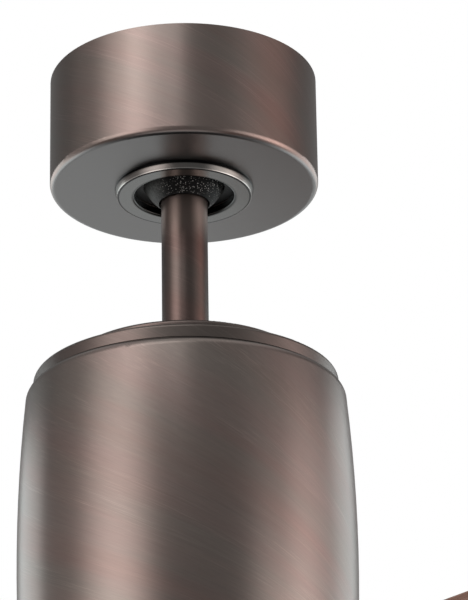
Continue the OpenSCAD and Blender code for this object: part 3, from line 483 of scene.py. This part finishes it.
def wood(name, light, dark):
    """Reddish brown wood grain along each blade, darker on its edges."""
    g = material(name)
    x, y = g.parts(g.point())[:2]
    radius = g.radius(x, y)
    azimuth = g.math("SUBTRACT", g.math("ARCTAN2", y, x), FIRST_BLADE - THIRD / 2)
    off = g.math("SUBTRACT", g.math("FLOORED_MODULO", azimuth, THIRD), THIRD / 2)
    across = g.math("MULTIPLY", radius, g.math("SINE", off))
    along = g.math("MULTIPLY", radius, g.math("COSINE", off), GRAIN_STRETCH)
    blade = g.math("FLOOR", g.math("DIVIDE", azimuth, THIRD))
    plank = g.add("ShaderNodeCombineXYZ", {0: along, 1: across, 2: blade}).outputs[0]
    rings = g.noise(plank, RINGS, detail=5.0, rough=0.6)
    fibres = g.noise(plank, FIBRES, detail=3.0, rough=0.6)
    tone = g.math(
        "ADD", g.math("MULTIPLY", rings, RING_SHARE), g.math("MULTIPLY", fibres, FIBRE_SHARE)
    )
    grain = g.ramp(tone, (DARK_AT, dark), (LIGHT_AT, light))
    g.shade(
        Base_Color=g.mix(g.upright(*EDGE_SPAN, EDGE_DARK), grain, dark), Metallic=0.0,
        Roughness=g.spread(fibres, *WOOD_ROUGHNESS), Specular_IOR_Level=WOOD_SPECULAR,
        Normal=g.bump(tone, *WOOD_BUMP),
    )
    return g.owner


# Finishes

# Bronzes: the colour of walls, of the copper in their clouds and in the painted highlight tint,
# and of level faces
BRONZE = (srgb(124, 112, 107), srgb(126, 101, 94), srgb(107, 106, 106))
CAP_BRONZE = (srgb(101, 91, 87), srgb(104, 82, 76), srgb(90, 88, 87))
ROD_BRONZE = (srgb(92, 81, 77), srgb(96, 74, 68), srgb(92, 81, 77))
RING_BRONZE = (srgb(107, 102, 99), srgb(107, 100, 96), srgb(105, 104, 103))

# The function that makes each finish, with values for its parameters in order
RECIPES = {
    "bronze": (brushed_bronze, *BRONZE),
    "shell_bronze": (brushed_bronze, *BRONZE, 0.30, painted_shoulder_shade),
    "cap_bronze": (brushed_bronze, *CAP_BRONZE),
    "rod_bronze": (brushed_bronze, *ROD_BRONZE, 0.30, painted_rod_light),
    "pale_bronze": (brushed_bronze, *RING_BRONZE, 0.20, painted_ring_light),
    "ball_black": (speckled_black,),
    "blade_brown": (wood, srgb(156, 118, 104), srgb(112, 82, 72)),
    "black_steel": (plated, srgb(20, 20, 20), 0.55, 0.0),
    "zinc_steel": (plated, srgb(196, 196, 192), 0.3),
    "dark_screw": (plated, srgb(96, 86, 80), 0.35),
    "cast_metal": (plated, srgb(172, 173, 175), 0.5, 1.0, 500.0, 0.5),
    "core_steel": (plated, srgb(128, 130, 134), 0.45),
    "copper_wire": (plated, srgb(204, 122, 74), 0.3, 1.0, 2600.0, 0.5),
    "black_rubber": (plated, srgb(34, 34, 34), 0.7, 0.0),
    "black_plastic": (plated, srgb(40, 40, 41), 0.5, 0.0),
    "ground_green": (plated, srgb(60, 128, 72), 0.35, 0.8),
}
MATERIALS = {name: make(name, *values) for name, (make, *values) in RECIPES.items()}

SLOTS = {part["node"]: part["material_slot"] for part in frame["record"]["subparts"]}
# Nodes whose bronze isn't the plain one of their slot
OWN_FINISH = {
    "downrod": "rod_bronze",
    "housing_shell": "shell_bronze",
    "top_cap": "cap_bronze",
    "coupling_cover": "cap_bronze",
}

for name, node in NODES.items():
    node.data.materials.clear()
    node.data.materials.append(MATERIALS[OWN_FINISH.get(name, SLOTS[name])])


# Studio

WHITE = (1.0, 1.0, 1.0, 1.0)
# Tints of the room's own light, of its soft boxes and of the rim panels
COOL = (0.96, 1.0, 1.0, 1.0)
WARM = (1.0, 0.97, 0.95, 1.0)
RIM = (0.89, 1.0, 1.02)


def band(start, full, fade, end):
    """Fades that leave 1 from full to fade, and 0 before start and past end."""
    return (start, full), (fade, end, 1.0, 0.0)


# The room's least radiance, and its lights: the radiance, then the fades by the angle to either
# side of the camera and by the angle above level, in degrees
ROOM = 0.16
ROOM_LIGHTS = (
    (0.13, [(62, 112, 1.0, 0.0)], []),
    (0.20, [(0, 30, 1.0, 0.6)], [(20, 34)]),
    (0.75, [(96, 116)], band(-60, -48, 10, 16)),
    (0.45, [], [(42, 62)]),
)
# Soft boxes in the same form, by the angle to the camera's right
BOXES = (
    (2.80, band(-82, -50, -46, -16), band(-38, -14, 8, 58)),
    (0.30, band(-116, -100, -74, -56), band(-38, -14, 8, 56)),
    (2.00, band(34, 60, 84, 104), band(-38, -14, 6, 24)),
    (0.20, band(30, 72, 92, 116), band(-38, -14, 22, 46)),
)

# Upright panels that face the fan's axis: the angle to the camera's right in degrees, the
# distance, the width and the lower and upper edge in metres, the radiance and the colour
PANELS = {
    "right_box": (90, 1.64, 1.30, -0.95, 0.54, 0.67, WHITE[:3]),
    "left_rim": (-129, 0.87, 0.58, -0.95, 0.14, 1.60, RIM),
    "right_near": (90, 0.87, 0.52, -0.95, 0.20, 0.36, WHITE[:3]),
    "right_rim": (128, 0.87, 0.56, -0.95, 0.19, 1.50, RIM),
    "top_box": (-23.5, 0.97, 0.83, 0.40, 0.92, 2.00, WHITE[:3]),
}

FLOOR_RADIUS = 1.25
FLOOR_CORNERS = 96
FLOOR_PLACE = (0, -0.35, -2.4)
FLOOR_COLOR = (0.8, 0.8, 0.8, 1.0)


def studio_world():
    """A grey room with soft boxes to the camera's left and right, and white to the camera."""
    world = bpy.data.worlds.new("studio")
    bpy.context.scene.world = world
    g = Graph(world)
    x, y, z = g.parts(g.add("ShaderNodeTexCoord").outputs["Generated"])
    side = g.math("DEGREES", g.math("ARCTAN2", x, g.math("MULTIPLY", y, -1.0)))
    either_side = g.math("ABSOLUTE", side)
    height = g.math("DEGREES", g.math("ARCSINE", z))

    def lights(angle, rows):
        """The radiance that each row adds in the direction looked at."""
        for radiance, across, above in rows:
            fades = [g.smooth(angle, *fade) for fade in across]
            fades += [g.smooth(height, *fade) for fade in above]
            yield g.math("MULTIPLY", *fades, radiance)

    room = g.math("ADD", ROOM, *lights(either_side, ROOM_LIGHTS))
    boxes = g.math("ADD", *lights(side, BOXES))
    cool = g.add("ShaderNodeBackground", {"Color": COOL, "Strength": room}).outputs[0]
    warm = g.add("ShaderNodeBackground", {"Color": WARM, "Strength": boxes}).outputs[0]
    soft = g.add("ShaderNodeAddShader", {0: cool, 1: warm}).outputs[0]
    white = g.add("ShaderNodeBackground", {"Color": WHITE}).outputs[0]
    to_camera = g.add("ShaderNodeLightPath").outputs["Is Camera Ray"]
    surface = g.add("ShaderNodeMixShader", {0: to_camera, 1: soft, 2: white}).outputs[0]
    g.add("ShaderNodeOutputWorld", {"Surface": surface})


def make_panel(name, azimuth, distance, width, low, high, radiance, color):
    """A soft light that the camera doesn't see; a radiance of 1 is white."""
    data = bpy.data.lights.new(name, "AREA")
    data.color = color
    data.shape = "RECTANGLE"
    data.size = width
    data.size_y = high - low
    data.energy = radiance * math.pi * data.size * data.size_y
    light = placed(name, data)
    turn = math.radians(azimuth)
    light.location = (distance * math.sin(turn), -distance * math.cos(turn), (low + high) / 2)
    light.rotation_euler = (math.radians(90), 0, turn)
    light.visible_camera = False


def make_floor():
    """A pale round floor: white to the camera and in reflections, and clear seen from below."""
    mesh = bpy.data.meshes.new("floor")
    shape = bmesh.new()
    bmesh.ops.create_circle(shape, cap_ends=True, radius=FLOOR_RADIUS, segments=FLOOR_CORNERS)
    shape.to_mesh(mesh)
    shape.free()
    floor = placed("floor", mesh)
    floor.location = FLOOR_PLACE
    g = Graph(bpy.data.materials.new("floor"))
    path = g.add("ShaderNodeLightPath").outputs
    to_camera = path["Is Camera Ray"]
    seen = g.math("MAXIMUM", to_camera, path["Is Glossy Ray"], path["Is Transmission Ray"])
    matte = g.add("ShaderNodeBsdfDiffuse", {"Color": FLOOR_COLOR}).outputs[0]
    white = g.add("ShaderNodeEmission").outputs[0]
    top = g.add("ShaderNodeMixShader", {0: seen, 1: matte, 2: white}).outputs[0]
    back = g.add("ShaderNodeNewGeometry").outputs["Backfacing"]
    below = g.math("MULTIPLY", back, to_camera)
    clear = g.add("ShaderNodeBsdfTransparent").outputs[0]
    surface = g.add("ShaderNodeMixShader", {0: below, 1: top, 2: clear}).outputs[0]
    g.add("ShaderNodeOutputMaterial", {"Surface": surface})
    mesh.materials.append(g.owner)


studio_world()
for name, values in PANELS.items():
    make_panel(name, *values)
make_floor()

bpy.context.scene.view_settings.view_transform = "Standard"
